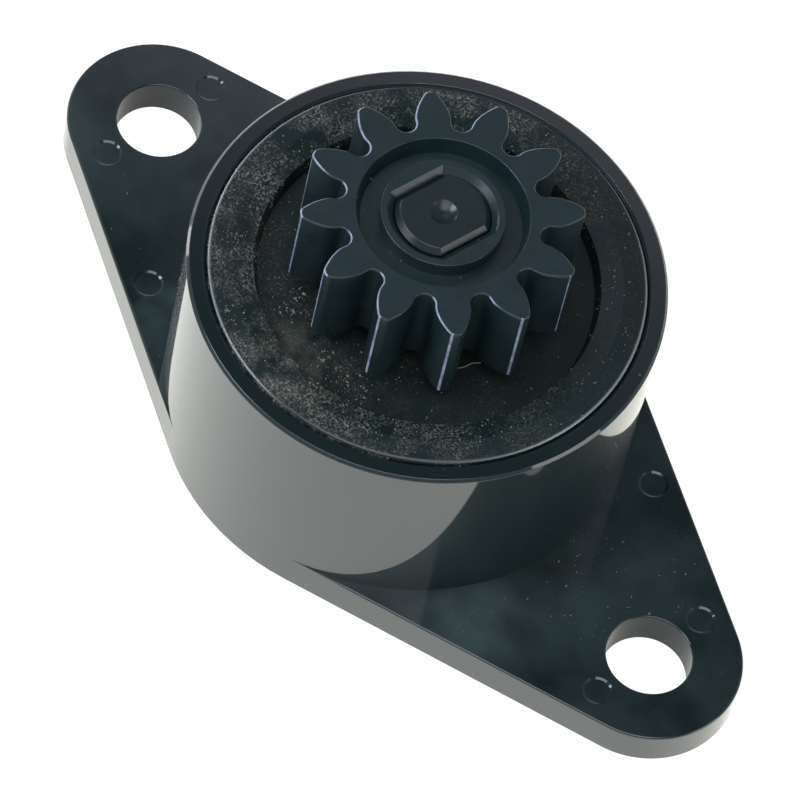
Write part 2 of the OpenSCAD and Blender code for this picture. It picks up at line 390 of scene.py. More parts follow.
def acetal_material(name, dark, light):
    """Moulded acetal: a waxy satin skin, dark with a blue cast, clouded a little by handling.

    The pores are drawn coarser than real ones, so that they show.
    """
    material, tree, output = new_material(name)
    place = add(tree, "ShaderNodeTexCoord").outputs["Object"]
    cloud = add(tree, "ShaderNodeTexNoise", {
        "Vector": place, "Scale": 1 / (1.2 * MM), "Detail": 4, "Roughness": 0.6})
    tint = add(tree, "ShaderNodeMix", {
        0: cloud.outputs["Fac"], 6: linear(dark), 7: linear(light)}, data_type="RGBA")
    satin = add(tree, "ShaderNodeMapRange", {
        "Value": cloud.outputs["Fac"], "To Min": 0.2, "To Max": 0.4})
    grain = add(tree, "ShaderNodeTexNoise", {
        "Vector": place, "Scale": 1 / (0.12 * MM), "Detail": 2})
    pores = add(tree, "ShaderNodeBump", {
        "Height": grain.outputs["Fac"], "Strength": 0.08, "Distance": 0.02 * MM})
    skin = add(tree, "ShaderNodeBsdfPrincipled", {
        "Base Color": tint.outputs[2], "Roughness": satin.outputs[0], "IOR": 1.48,
        "Normal": pores.outputs[0]})
    tree.links.new(skin.outputs[0], output.inputs["Surface"])
    return material


rotor_acetal = acetal_material("moulded_black_acetal", "#0a1818", "#162426")
rotor_piece = new_piece("rotor_moulding", rotor_shape, rotor_acetal)
stand_for(rotor_piece, "rotor", "spindle")

# Damping fluid
# Thick clear silicone fluid, filled in before the cap goes on, in every gap between case and rotor.
# It is the film of fluid itself, a little cloudy with fine bubbles.
silicone, tree, output = new_material("clear_silicone_fluid")
place = add(tree, "ShaderNodeTexCoord").outputs["Object"]
bubbles = add(tree, "ShaderNodeTexVoronoi", {"Vector": place, "Scale": 1 / (0.8 * MM)})
cloudy = add(tree, "ShaderNodeMapRange", {
    "Value": bubbles.outputs["Distance"], "From Max": 0.35, "To Min": 0.25, "To Max": 0.04})
tint = add(tree, "ShaderNodeMix", {
    0: cloudy.outputs[0], 6: linear("#e4e6e0"), 7: linear("#c9ccc6")}, data_type="RGBA")
body = add(tree, "ShaderNodeBsdfPrincipled", {
    "Base Color": tint.outputs[2], "Roughness": cloudy.outputs[0], "IOR": 1.4,
    "Transmission Weight": 0.8})
tree.links.new(body.outputs[0], output.inputs["Surface"])
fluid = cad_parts["damping_fluid"]
fluid.data.materials.clear()
fluid.data.materials.append(silicone)

# Shaft seal
# A moulded nitrile rubber ring, squeezed between the shaft and the cap's gland.
# Matt black, with the faint bloom that rubber gets.
rubber, tree, output = new_material("nitrile_rubber")
place = add(tree, "ShaderNodeTexCoord").outputs["Object"]
bloom = add(tree, "ShaderNodeTexNoise", {"Vector": place, "Scale": 1 / (0.6 * MM), "Detail": 4})
tint = add(tree, "ShaderNodeMix", {
    0: bloom.outputs["Fac"], 6: linear("#101010"), 7: linear("#2a2a29")}, data_type="RGBA")
body = add(tree, "ShaderNodeBsdfPrincipled", {
    "Base Color": tint.outputs[2], "Roughness": 0.8, "IOR": 1.52})
tree.links.new(body.outputs[0], output.inputs["Surface"])
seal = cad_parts["shaft_seal"]
seal.data.materials.clear()
seal.data.materials.append(rubber)

# Cap
# One moulding of black ABS, let into the case's mouth and welded there, with a dished face.
# The mould for its face was spark-eroded, so it is matt and finely grained, and it holds dust.
cap_round = 0.09 * MM
cap_edge_r = 11 * MM
cap_edge_depth = 0.2 * MM
cap_crease = math.radians(5)
nearly_level = 0.99
grain_width = 0.2 * MM
speck_width = 0.13 * MM
patch_width = 2.2 * MM
dusty_side = math.radians(215)
highlight_side = math.radians(208)
film_middle = Vector((-0.5, -8.8, 13)) * MM
film_reach = 3.6 * MM
cap_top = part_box("cap")[1].z
cap_shape = cad_copy("cap")
round_edges(
    cap_shape, cap_round,
    lambda co: co.z > cap_top - cap_edge_depth and co.xy.length > cap_edge_r)
# The rounded edge's faces take the second material, which carries a painted highlight
for face in cap_shape.faces:
    face_middle = face.calc_center_median()
    on_edge = face_middle.z > cap_top - cap_round and face_middle.xy.length > cap_edge_r
    if on_edge and face.normal.z < nearly_level:
        face.material_index = 1

# Spark-eroded ABS: matt and grained, so it has a soft sheen and no mirror image; the slope into the
# dish is smoother. Pale dust lies on it in patches of fine specks, least in the dish and on the lee
# side, and as a thin film at the front. The dish floor's darker base is painted shade. Grain and
# specks are drawn as coarse as they need to show.
abs_plastic, tree, output = new_material("grained_black_abs")
place = add(tree, "ShaderNodeTexCoord").outputs["Object"]
grain = add(tree, "ShaderNodeTexNoise", {
    "Vector": place, "Scale": 1 / grain_width, "Detail": 3, "Roughness": 0.6})
patches = add(tree, "ShaderNodeTexNoise", {
    "Vector": place, "Scale": 1 / patch_width, "Detail": 4, "Roughness": 0.65})
patch_amount = add(tree, "ShaderNodeMapRange", {
    "Value": patches.outputs["Fac"], "From Min": 0.41, "From Max": 0.62})
specks = add(tree, "ShaderNodeTexNoise", {
    "Vector": place, "Scale": 1 / speck_width, "Detail": 3, "Roughness": 0.6})
speck_amount = add(tree, "ShaderNodeMapRange", {
    "Value": specks.outputs["Fac"], "From Min": 0.46, "From Max": 0.72})
across = add(tree, "ShaderNodeVectorMath", {
    0: place, 1: (*polar(1, dusty_side), 0)}, operation="DOT_PRODUCT")
lee = add(tree, "ShaderNodeMapRange", {
    "Value": across.outputs["Value"], "From Min": -9 * MM, "From Max": 0, "To Min": 0.1})
raised = add(tree, "ShaderNodeMapRange", {
    "Value": add(tree, "ShaderNodeSeparateXYZ", {"Vector": place}).outputs["Z"],
    "From Min": cap_top - 0.8 * MM, "From Max": cap_top - 0.1 * MM, "To Min": 0.2})
open_to_air = add(tree, "ShaderNodeMath", {0: raised.outputs[0], 1: lee.outputs[0]},
                  operation="MULTIPLY")
settled = add(tree, "ShaderNodeMath", {0: patch_amount.outputs[0], 1: open_to_air.outputs[0]},
              operation="MULTIPLY")
dust_share = add(tree, "ShaderNodeMath", {0: settled.outputs[0], 1: speck_amount.outputs[0]},
                 operation="MULTIPLY")
off = add(tree, "ShaderNodeVectorMath", {
    0: place, 1: film_middle}, operation="DISTANCE")
film = add(tree, "ShaderNodeMapRange", {
    "Value": off.outputs["Value"], "From Max": film_reach, "To Min": 0.28, "To Max": 0})
filmed = add(tree, "ShaderNodeMath", {
    0: film.outputs[0], 1: patch_amount.outputs[0], 2: dust_share.outputs[0]},
    operation="MULTIPLY_ADD")
# Painted shade: the dish's floor takes a darker base than the raised face
dish_shade_base = add(tree, "ShaderNodeMix", {
    0: raised.outputs[0], 6: linear("#061412"), 7: linear("#0d1d1d")}, data_type="RGBA")
dusted = add(tree, "ShaderNodeMix", {
    0: filmed.outputs[0], 6: dish_shade_base.outputs[2], 7: linear("#807e72")}, data_type="RGBA")
pits = add(tree, "ShaderNodeBump", {
    "Height": grain.outputs["Fac"], "Strength": 0.5, "Distance": 0.03 * MM})
upright = add(tree, "ShaderNodeSeparateXYZ", {
    "Vector": add(tree, "ShaderNodeTexCoord").outputs["Normal"]})
matt = add(tree, "ShaderNodeMapRange", {
    "Value": upright.outputs["Z"], "From Min": 0.986, "From Max": 0.994,
    "To Min": 0.3, "To Max": 0.5})
skin = add(tree, "ShaderNodeBsdfPrincipled", {
    "Base Color": dusted.outputs[2], "Roughness": matt.outputs[0], "Specular IOR Level": 0.32,
    "Normal": pits.outputs[0]})
tree.links.new(skin.outputs[0], output.inputs["Surface"])

# The edge that sealed against the mould is smooth, with a pale painted highlight on two opposite
# sides
abs_edge_highlight, tree, output = new_material("highlit_abs_edge")
toward_highlight_side = add(tree, "ShaderNodeVectorMath", {
    0: add(tree, "ShaderNodeTexCoord").outputs["Normal"], 1: (*polar(1, highlight_side), 0)},
    operation="DOT_PRODUCT")
either_side = add(tree, "ShaderNodeMath", {0: toward_highlight_side.outputs["Value"]}, operation="ABSOLUTE")
highlight_amount = add(tree, "ShaderNodeMapRange", {
    "Value": either_side.outputs[0], "From Min": 0.2, "From Max": 0.6})
tint = add(tree, "ShaderNodeMix", {
    0: highlight_amount.outputs[0], 6: linear("#0a1615"), 7: linear("#8c918f")}, data_type="RGBA")
skin = add(tree, "ShaderNodeBsdfPrincipled", {
    "Base Color": tint.outputs[2], "Roughness": 0.25, "IOR": 1.54})
tree.links.new(skin.outputs[0], output.inputs["Surface"])
cap_piece = new_piece("cap_moulding", cap_shape, abs_plastic, abs_edge_highlight, crease=cap_crease)
stand_for(cap_piece, "cap", "housing")

# Pinion
# One moulding of black acetal with twelve involute teeth, pressed on the shaft's two flats.
# Its mould's edges have rounded with wear; on the lit side the teeth's top edges and corners carry a
# pale painted highlight.
teeth = 12
tooth_module = 1 * MM
pressure_angle = math.radians(20)
profile_shift = 0.27 * MM
root_clearance = 0.25 * MM
pinion_turn = math.radians(-5)
groove_rim = 0.6 * MM
groove_depth = 0.9 * MM
groove_lean = 0.27 * MM
hub_r = 3.2 * MM
bore_r = 2.5 * MM
bore_half_w = 2 * MM
mouth_chamfer = 0.35 * MM
tooth_round = 0.1 * MM
tip_round = 0.3 * MM
groove_round = 0.06 * MM
flank_steps = 9
space_steps = 7
wedge_steps = 8

pinion_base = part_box("pinion")[0].z
pinion_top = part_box("pinion")[1].z
pitch_r = tooth_module * teeth / 2
base_r = pitch_r * math.cos(pressure_angle)
tip_r = pitch_r + tooth_module + profile_shift
root_r = pitch_r - tooth_module - root_clearance + profile_shift
groove_r = root_r - groove_rim
half_step = math.pi / teeth


def tooth_half(radius):
    """Half the angle that a tooth covers at a radius, by the involute's rule."""
    def involute(r):
        unwind = math.sqrt(max(0, (r / base_r) ** 2 - 1))
        return unwind - math.atan(unwind)
    at_pitch = half_step / 2 + profile_shift * math.tan(pressure_angle) / pitch_r
    return at_pitch + involute(pitch_r) - involute(radius)


def half_tooth():
    """One tooth's outline from the middle of its tip to the middle of the space after it."""
    flank = [tip_r - (tip_r - base_r) * i / flank_steps for i in range(flank_steps + 1)]
    flank = [polar(r, tooth_half(r)) for r in flank]
    tip = fillet(polar(tip_r, 0), flank[0], flank[1], tip_round)
    space_half = half_step - tooth_half(base_r)
    space_r = root_r * math.sin(space_half) / (1 - math.sin(space_half))
    space_middle = polar(root_r + space_r, half_step)
    quarter = math.pi / 2 - space_half
    space = [
        space_middle + polar(space_r, half_step + math.pi + quarter * (1 - i / space_steps))
        for i in range(1, space_steps + 1)
    ]
    return [polar(tip_r, 0)] + tip + flank[1:] + space


left = half_tooth()
tooth = [Vector((p.x, -p.y)) for p in reversed(left[1:])] + left
next_point = polar(left[-2].length, 2 * half_step - math.atan2(left[-2].y, left[-2].x))
last_point = Vector((next_point.x, -next_point.y))
highlight_from = len(left) - 1 - round_steps
highlight_faces = round_steps - 2

# One twelfth of the pinion, with a tooth in its middle, from the teeth in to the groove's floor
wedge = bmesh.new()
edge_highlight = wedge.faces.layers.bool.new("edge_highlight")
corner_highlight = wedge.faces.layers.bool.new("corner_highlight")
levels = [(inwards, pinion_top - down) for inwards, down in reversed(quarter_round(tooth_round))]
levels += [(inwards, pinion_base + up) for inwards, up in quarter_round(tooth_round)]
rows = [
    [wedge.verts.new((*p, z)) for p in inset(tooth, last_point, next_point, [inwards] * len(tooth))]
    for inwards, z in levels
]
# The top edge rounds and the middle faces of the tip rounds are flagged for the pale painted
# highlight
for k, (upper, lower) in enumerate(zip(rows, rows[1:])):
    for i, face in enumerate(add_strip(wedge, upper, lower)):
        face[corner_highlight] = 0 <= i - highlight_from < highlight_faces
        face[edge_highlight] = k < round_steps or 0 <= len(tooth) - 2 - i - highlight_from < highlight_faces
groove_profile = [(groove_r + i, pinion_top - d) for i, d in reversed(quarter_round(groove_round))]
groove_profile += [
    (groove_r - groove_lean, pinion_top - groove_depth), (hub_r, pinion_top - groove_depth)]
spokes = [half_step * (2 * i / wedge_steps - 1) for i in range(wedge_steps + 1)]
groove_rows = [add_ring(wedge, r, z, spokes) for r, z in groove_profile]
for outer, inner in zip(groove_rows, groove_rows[1:]):
    add_strip(wedge, inner, outer)
wedge.faces.new(rows[0] + groove_rows[0][::-1])
wedge.faces.new(rows[-1][::-1] + add_ring(wedge, hub_r, pinion_base, spokes))
pinion_acetal = acetal_material("moulded_blue_black_acetal", "#0f1f20", "#1c2c2e")


def highlight_material(name, pale, light_way, least, most):
    """Acetal with a pale dull grey painted highlight in streaks, on the faces that lean along the
    given vector.
    """
    material, tree, output = new_material(name)
    place = add(tree, "ShaderNodeTexCoord")
    streaks = add(tree, "ShaderNodeTexNoise", {
        "Vector": place.outputs["Object"], "Scale": 1 / (0.5 * MM), "Detail": 3})
    streak_amount = add(tree, "ShaderNodeMapRange", {
        "Value": streaks.outputs["Fac"], "From Min": 0.34, "From Max": 0.6, "To Min": 0.5})
    leaning = add(tree, "ShaderNodeVectorMath", {
        0: place.outputs["Normal"], 1: light_way}, operation="DOT_PRODUCT")
    side_amount = add(tree, "ShaderNodeMapRange", {
        "Value": leaning.outputs["Value"], "From Min": least, "From Max": most})
    highlight_share = add(tree, "ShaderNodeMath", {
        0: streak_amount.outputs[0], 1: side_amount.outputs[0]}, operation="MULTIPLY")
    tint = add(tree, "ShaderNodeMix", {
        0: highlight_share.outputs[0], 6: linear("#18262a"), 7: linear(pale)}, data_type="RGBA")
    skin = add(tree, "ShaderNodeBsdfPrincipled", {
        "Base Color": tint.outputs[2], "Roughness": 0.35, "IOR": 1.48})
    tree.links.new(skin.outputs[0], output.inputs["Surface"])
    return material


# The painted highlight shows on the faces that lean towards these ways, as if lit from there
edge_light_way = (*polar(0.85, math.radians(212)), 0.3)
corner_light_way = (*polar(0.85, math.radians(272)), 0)
acetal_edge_highlight = highlight_material("highlit_acetal_edge", "#8e94aa", edge_light_way, 0.4, 0.56)
acetal_corner_highlight = highlight_material("highlit_acetal_corner", "#9aa0b8", corner_light_way, 0.05, 0.15)
tooth_mesh = bpy.data.meshes.new("pinion_tooth")
wedge.to_mesh(tooth_mesh)
wedge.free()
tooth_mesh.materials.append(pinion_acetal)
tooth_mesh.materials.append(acetal_edge_highlight)
tooth_mesh.materials.append(acetal_corner_highlight)


def keep_mesh(piece):
    """Turns what the piece's modifiers make into its own plain mesh."""
    evaluated = piece.evaluated_get(bpy.context.evaluated_depsgraph_get())
    piece.data = bpy.data.meshes.new_from_object(evaluated)
    piece.modifiers.clear()


def new_tree(name, **inputs):
    """An empty geometry tree with a mesh coming in and going out, and the named inputs."""
    tree = bpy.data.node_groups.new(name, "GeometryNodeTree")
    tree.interface.new_socket("Mesh", in_out="INPUT", socket_type="NodeSocketGeometry")
    tree.interface.new_socket("Mesh", in_out="OUTPUT", socket_type="NodeSocketGeometry")
    for label, kind in inputs.items():
        label = label.replace("_", " ")
        tree.interface.new_socket(label, in_out="INPUT", socket_type="NodeSocket" + kind)
    return tree, add(tree, "NodeGroupInput").outputs, add(tree, "NodeGroupOutput")


def run_tree(piece, tree, **values):
    """Runs a geometry tree on the piece with the named values, and keeps the result as its mesh."""
    modifier = piece.modifiers.new(tree.name, "NODES")
    modifier.node_group = tree
    identifiers = {item.name: item.identifier for item in tree.interface.items_tree}
    for label, value in values.items():
        modifier[identifiers[label.replace("_", " ")]] = value
    keep_mesh(piece)


ring, given, made = new_tree(
    "teeth_in_a_ring", Teeth="Int", Turn="Float",
    Plain="Material", Rubbed="Material", Scuffed="Material")
marks = add(ring, "GeometryNodeMeshLine", {"Count": given["Teeth"], "Offset": (0, 0, 0)})
step = add(ring, "ShaderNodeMath", {0: 2 * math.pi, 1: given["Teeth"]}, operation="DIVIDE")
angle = add(ring, "ShaderNodeMath", {
    0: add(ring, "GeometryNodeInputIndex").outputs[0], 1: step.outputs[0], 2: given["Turn"]},
    operation="MULTIPLY_ADD")
turn = add(ring, "ShaderNodeCombineXYZ", {"Z": angle.outputs[0]})
copies = add(ring, "GeometryNodeInstanceOnPoints", {
    "Points": marks.outputs[0], "Instance": given["Mesh"], "Rotation": turn.outputs[0]})
solid = add(ring, "GeometryNodeRealizeInstances", {"Geometry": copies.outputs[0]})
joined = add(ring, "GeometryNodeMergeByDistance", {
    "Geometry": solid.outputs[0], "Distance": weld})
plain = add(ring, "GeometryNodeSetMaterial", {
    "Geometry": joined.outputs[0], "Material": given["Plain"]})
# The flagged faces take the two painted highlight materials
lit_edges = add(ring, "GeometryNodeInputNamedAttribute", {"Name": "edge_highlight"}, data_type="BOOLEAN")
edged = add(ring, "GeometryNodeSetMaterial", {
    "Geometry": plain.outputs[0], "Selection": lit_edges.outputs[0], "Material": given["Rubbed"]})
lit_corners = add(ring, "GeometryNodeInputNamedAttribute", {"Name": "corner_highlight"}, data_type="BOOLEAN")
finished = add(ring, "GeometryNodeSetMaterial", {
    "Geometry": edged.outputs[0], "Selection": lit_corners.outputs[0], "Material": given["Scuffed"]})
ring.links.new(finished.outputs[0], made.inputs[0])
toothed_ring = bpy.data.objects.new("toothed_ring", tooth_mesh)
bpy.context.scene.collection.objects.link(toothed_ring)
run_tree(
    toothed_ring, ring, Teeth=teeth, Turn=pinion_turn,
    Plain=pinion_acetal, Rubbed=acetal_edge_highlight, Scuffed=acetal_corner_highlight)

# The hub inside the groove, with its double-flat bore and the chamfer in the bore's mouth
hub_steps = teeth * wedge_steps
hub_angles = [2 * math.pi * i / hub_steps - half_step for i in range(hub_steps)]


def bore_ring(shape, grown, z):
    """The bore's outline, with the nearest points moved to the corners of its flats."""
    radius, half_w = bore_r + grown, bore_half_w + grown
    corner = math.acos(half_w / radius)
    corners = [corner, math.pi - corner, -corner, corner - math.pi]
    angles = snapped(hub_angles, corners)
    reach = [min(radius, half_w / max(abs(math.cos(a)), 0.01)) for a in angles]
    return [
        shape.verts.new((*polar(r, a + pinion_turn), z))
        for r, a in zip(reach, angles)
    ]


pinion_shape = bmesh.new()
pinion_shape.from_mesh(toothed_ring.data)
turned = [a + pinion_turn for a in hub_angles]
hub_rows = [add_ring(pinion_shape, hub_r, pinion_top - groove_depth, turned)]
hub_rows += [
    add_ring(pinion_shape, hub_r - inwards, pinion_top - down, turned)
    for inwards, down in quarter_round(groove_round)
]
hub_rows += [bore_ring(pinion_shape, mouth_chamfer, pinion_top)]
hub_rows += [bore_ring(pinion_shape, 0, pinion_top - mouth_chamfer)]
hub_rows += [bore_ring(pinion_shape, 0, pinion_base)]
hub_rows += [add_ring(pinion_shape, hub_r, pinion_base, turned)]
for upper, lower in zip(hub_rows, hub_rows[1:]):
    add_strip(pinion_shape, upper, lower, closed=True)
bmesh.ops.remove_doubles(pinion_shape, verts=pinion_shape.verts, dist=weld)
bmesh.ops.recalc_face_normals(pinion_shape, faces=pinion_shape.faces)
pinion_piece = new_piece(
    "pinion_moulding", pinion_shape, pinion_acetal, acetal_edge_highlight, acetal_corner_highlight)
bpy.data.objects.remove(toothed_ring)
stand_for(pinion_piece, "pinion", "spindle")

# Dust
# Crumbs of grit and a fibre of lint that have settled on the cap, the flange, the rim and the pinion.
# Nothing holds them: each lies where it fell, thicker in patches and round one spot of each face.
steep = 0.3
dish_floor_z = 12 * MM
dish_edge_z = 12.5 * MM
rim_edge_z = 12.9 * MM
groove_low_z = 16 * MM
full_turn = 6.28

# Mineral grit: dull crumbs from brown to pale grey that show as matt specks on the black
dust, tree, output = new_material("settled_grit")
place = add(tree, "ShaderNodeTexCoord").outputs["Object"]
kind = add(tree, "ShaderNodeTexNoise", {"Vector": place, "Scale": 1 / (0.4 * MM), "Detail": 2})
tint = add(tree, "ShaderNodeMix", {
    0: kind.outputs["Fac"], 6: linear("#4c4438"), 7: linear("#8c897e")}, data_type="RGBA")
grit = add(tree, "ShaderNodeBsdfPrincipled", {"Base Color": tint.outputs[2], "Roughness": 0.9})
tree.links.new(grit.outputs[0], output.inputs["Surface"])

settle, given, made = new_tree(
    "settled_dust", Grains_per_mm2="Float", Grain_size="Float", Patch_size="Float",
    Heavy_spot="Vector", Heavy_reach="Float", Elsewhere="Float", Seed="Int", Grit="Material")
# The faces are cut up first, because the density is read only at a mesh's points
fine = add(settle, "GeometryNodeSubdivideMesh", {"Mesh": given["Mesh"], "Level": 4})
point = add(settle, "GeometryNodeInputPosition").outputs[0]
patch_scale = add(settle, "ShaderNodeMath", {0: 1, 1: given["Patch size"]}, operation="DIVIDE")
cloud = add(settle, "ShaderNodeTexNoise", {
    "Vector": point, "Scale": patch_scale.outputs[0], "Detail": 4, "Roughness": 0.6})
patch = add(settle, "ShaderNodeMapRange", {
    "Value": cloud.outputs["Fac"], "From Min": 0.44, "From Max": 0.68, "To Min": 0.06})
away = add(settle, "ShaderNodeVectorMath", {
    0: point, 1: given["Heavy spot"]}, operation="DISTANCE")
near = add(settle, "ShaderNodeMapRange", {
    "Value": away.outputs["Value"], "From Max": given["Heavy reach"],
    "To Min": 1, "To Max": given["Elsewhere"]})
share = add(settle, "ShaderNodeMath", {
    0: patch.outputs[0], 1: near.outputs[0]}, operation="MULTIPLY")
most = add(settle, "ShaderNodeMath", {
    0: given["Grains per mm2"], 1: 1 / MM ** 2}, operation="MULTIPLY")
density = add(settle, "ShaderNodeMath", {
    0: share.outputs[0], 1: most.outputs[0]}, operation="MULTIPLY")
places = add(settle, "GeometryNodeDistributePointsOnFaces", {
    "Mesh": fine.outputs[0], "Density": density.outputs[0], "Seed": given["Seed"]})
chance = add(settle, "FunctionNodeRandomValue", {"Seed": given["Seed"]}, data_type="FLOAT")
rare = add(settle, "ShaderNodeMath", {0: chance.outputs[1], 1: 4}, operation="POWER")
bulk = add(settle, "ShaderNodeMapRange", {
    "Value": rare.outputs[0], "To Min": 0.35, "To Max": 1.6})
width = add(settle, "ShaderNodeMath", {
    0: bulk.outputs[0], 1: given["Grain size"]}, operation="MULTIPLY")
form = add(settle, "ShaderNodeVectorMath", {
    0: (1, 0.75, 0.5), "Scale": width.outputs[0]}, operation="SCALE")
tumble = add(settle, "FunctionNodeRandomValue", {
    "Max": (full_turn, full_turn, full_turn), "Seed": given["Seed"]}, data_type="FLOAT_VECTOR")
crumb = add(settle, "GeometryNodeMeshIcoSphere", {"Radius": 0.5, "Subdivisions": 1})
grains = add(settle, "GeometryNodeInstanceOnPoints", {
    "Points": places.outputs[0], "Instance": crumb.outputs[0],
    "Rotation": tumble.outputs[0], "Scale": form.outputs[0]})
loose = add(settle, "GeometryNodeRealizeInstances", {"Geometry": grains.outputs[0]})
dusty = add(settle, "GeometryNodeSetMaterial", {
    "Geometry": loose.outputs[0], "Material": given["Grit"]})
settle.links.new(dusty.outputs[0], made.inputs[0])


def settle_on(name, piece, body, chosen, **values):
    """Lets dust settle on the piece's faces that face up and pass the test; it rides on the body."""
    shape = bmesh.new()
    shape.from_mesh(piece.data)
    bare = [f for f in shape.faces if f.normal.z < steep or not chosen(f.calc_center_median())]
    bmesh.ops.delete(shape, geom=bare, context="FACES")
    bmesh.ops.triangulate(shape, faces=shape.faces)
    mesh = bpy.data.meshes.new(name)
    shape.to_mesh(mesh)
    shape.free()
    heap = bpy.data.objects.new(name, mesh)
    bpy.context.scene.collection.objects.link(heap)
    run_tree(heap, settle, Grit=dust, **values)
    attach(heap, body)


settle_on(
    "cap_dust", cap_piece, "housing", lambda co: co.z > dish_edge_z,
    Grains_per_mm2=85.0, Grain_size=0.1 * MM, Patch_size=1.4 * MM,
    Heavy_spot=(-6.5 * MM, -4.5 * MM, 13 * MM), Heavy_reach=21 * MM, Elsewhere=0.08, Seed=3)
settle_on(
    "dish_dust", cap_piece, "housing", lambda co: dish_floor_z < co.z < dish_edge_z,
    Grains_per_mm2=40.0, Grain_size=0.1 * MM, Patch_size=1.4 * MM,
    Heavy_spot=(-2 * MM, -8 * MM, 12.3 * MM), Heavy_reach=10 * MM, Elsewhere=0.1, Seed=9)
settle_on(
    "cap_crumbs", cap_piece, "housing", lambda co: dish_floor_z < co.z < dish_edge_z,
    Grains_per_mm2=160.0, Grain_size=0.17 * MM, Patch_size=0.8 * MM,
    Heavy_spot=(-2.8 * MM, -6.4 * MM, 12.3 * MM), Heavy_reach=1 * MM, Elsewhere=0.0, Seed=4)
settle_on(
    "cap_clump", cap_piece, "housing", lambda co: co.z > dish_floor_z,
    Grains_per_mm2=110.0, Grain_size=0.13 * MM, Patch_size=0.8 * MM,
    Heavy_spot=(1.8 * MM, -7.4 * MM, 12.3 * MM), Heavy_reach=2 * MM, Elsewhere=0.0, Seed=6)
settle_on(
    "flange_dust", case_piece, "housing", lambda co: abs(co.z - flange_top) < hair,
    Grains_per_mm2=10.0, Grain_size=0.11 * MM, Patch_size=1.6 * MM,
    Heavy_spot=(13.6 * MM, 1.2 * MM, flange_top), Heavy_reach=6.5 * MM, Elsewhere=0.05, Seed=5)
settle_on(
    "rim_dust", case_piece, "housing", lambda co: co.z > rim_edge_z,
    Grains_per_mm2=1.5, Grain_size=0.1 * MM, Patch_size=2 * MM,
    Heavy_spot=(3 * MM, -11.5 * MM, rim_top), Heavy_reach=12 * MM, Elsewhere=0.2, Seed=8)
settle_on(
    "pinion_dust", pinion_piece, "spindle",
    lambda co: groove_low_z < co.z < pinion_top - 0.1 * MM and co.xy.length < groove_r,
    Grains_per_mm2=5.0, Grain_size=0.1 * MM, Patch_size=1.5 * MM,
    Heavy_spot=(-1.5 * MM, -3 * MM, 18 * MM), Heavy_reach=6 * MM, Elsewhere=0.3, Seed=11)

# A fibre of lint on the cap's floor, seen between two teeth
fibre = bpy.data.curves.new("cap_lint", "CURVE")
fibre.dimensions = "3D"
fibre.bevel_depth = 0.035 * MM
fibre.bevel_resolution = 2
fibre.use_fill_caps = True
fibre.materials.append(dust)
thread = fibre.splines.new("NURBS")
thread.use_endpoint_u = True
thread.points.add(3)
for knot, co in zip(thread.points, (
        (4.93, -2.1, 12.29), (5.1, -1.7, 12.31), (5.16, -1.3, 12.36), (5.38, -0.9, 12.3))):
    knot.co = (*(Vector(co) * MM), 1)
lint = bpy.data.objects.new("cap_lint_curve", fibre)
bpy.context.scene.collection.objects.link(lint)
lint_shape = lint.evaluated_get(bpy.context.evaluated_depsgraph_get())
lint_piece = bpy.data.objects.new("cap_lint", bpy.data.meshes.new_from_object(lint_shape))
bpy.context.scene.collection.objects.link(lint_piece)
bpy.data.objects.remove(lint)
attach(lint_piece, "housing")

# Floor and light
# A white table top under the damper, in a room that is pale low down and in one high band, and dim
# above it. A lamp stands on the left and a soft window hangs over the front; a skylight and a low
# sill at the back left and a card on the right fill in.
floor_size = 1.2
floor_mesh = bpy.data.meshes.new("table_top")
half = floor_size / 2
floor_mesh.from_pydata(
    [(-half, -half, 0), (half, -half, 0), (half, half, 0), (-half, half, 0)], [], [(0, 1, 2, 3)])
floor = bpy.data.objects.new("table_top", floor_mesh)
bpy.context.scene.collection.objects.link(floor)

# White laminate: plain white to the eye with a soft shadow; what the case mirrors of it is a little
# warmer, with a painted shadow under the two holes
white_top, tree, output = new_material("white_table_top")
rays = add(tree, "ShaderNodeLightPath")
lit = add(tree, "ShaderNodeBsdfDiffuse", {"Color": (0.8, 0.8, 0.8, 1)})
seen_lit = add(tree, "ShaderNodeBsdfDiffuse", {"Color": (0.2, 0.2, 0.2, 1)})
seen_glow = add(tree, "ShaderNodeEmission", {"Color": (1, 1, 1, 1), "Strength": 0.95})
seen = add(tree, "ShaderNodeAddShader", {0: seen_glow.outputs[0], 1: seen_lit.outputs[0]})
mirrored_lit = add(tree, "ShaderNodeBsdfDiffuse", {"Color": (0.3, 0.3, 0.3, 1)})
table_place = add(tree, "ShaderNodeSeparateXYZ", {
    "Vector": add(tree, "ShaderNodeTexCoord").outputs["Object"]})
aside = add(tree, "ShaderNodeMath", {0: table_place.outputs["X"]}, operation="ABSOLUTE")
from_hole = add(tree, "ShaderNodeVectorMath", {
    0: add(tree, "ShaderNodeCombineXYZ", {
        "X": aside.outputs[0], "Y": table_place.outputs["Y"]}).outputs[0],
    1: (ear.x, 0, 0)}, operation="DISTANCE")
shade = add(tree, "ShaderNodeMapRange", {
    "Value": from_hole.outputs["Value"], "From Min": hole_r, "From Max": ear_r,
    "To Min": 0.35, "To Max": 1.15})
mirrored_glow = add(tree, "ShaderNodeEmission", {
    "Color": (1, 1, 0.9, 1), "Strength": shade.outputs[0]})
mirrored = add(tree, "ShaderNodeAddShader", {
    0: mirrored_glow.outputs[0], 1: mirrored_lit.outputs[0]})
through = add(tree, "ShaderNodeMath", {
    0: rays.outputs["Is Glossy Ray"], 1: rays.outputs["Is Transmission Ray"]}, operation="MAXIMUM")
bounced = add(tree, "ShaderNodeMixShader", {
    0: through.outputs[0], 1: lit.outputs[0], 2: mirrored.outputs[0]})
top = add(tree, "ShaderNodeMixShader", {
    0: rays.outputs["Is Camera Ray"], 1: bounced.outputs[0], 2: seen.outputs[0]})
tree.links.new(top.outputs[0], output.inputs["Surface"])
floor_mesh.materials.append(white_top)

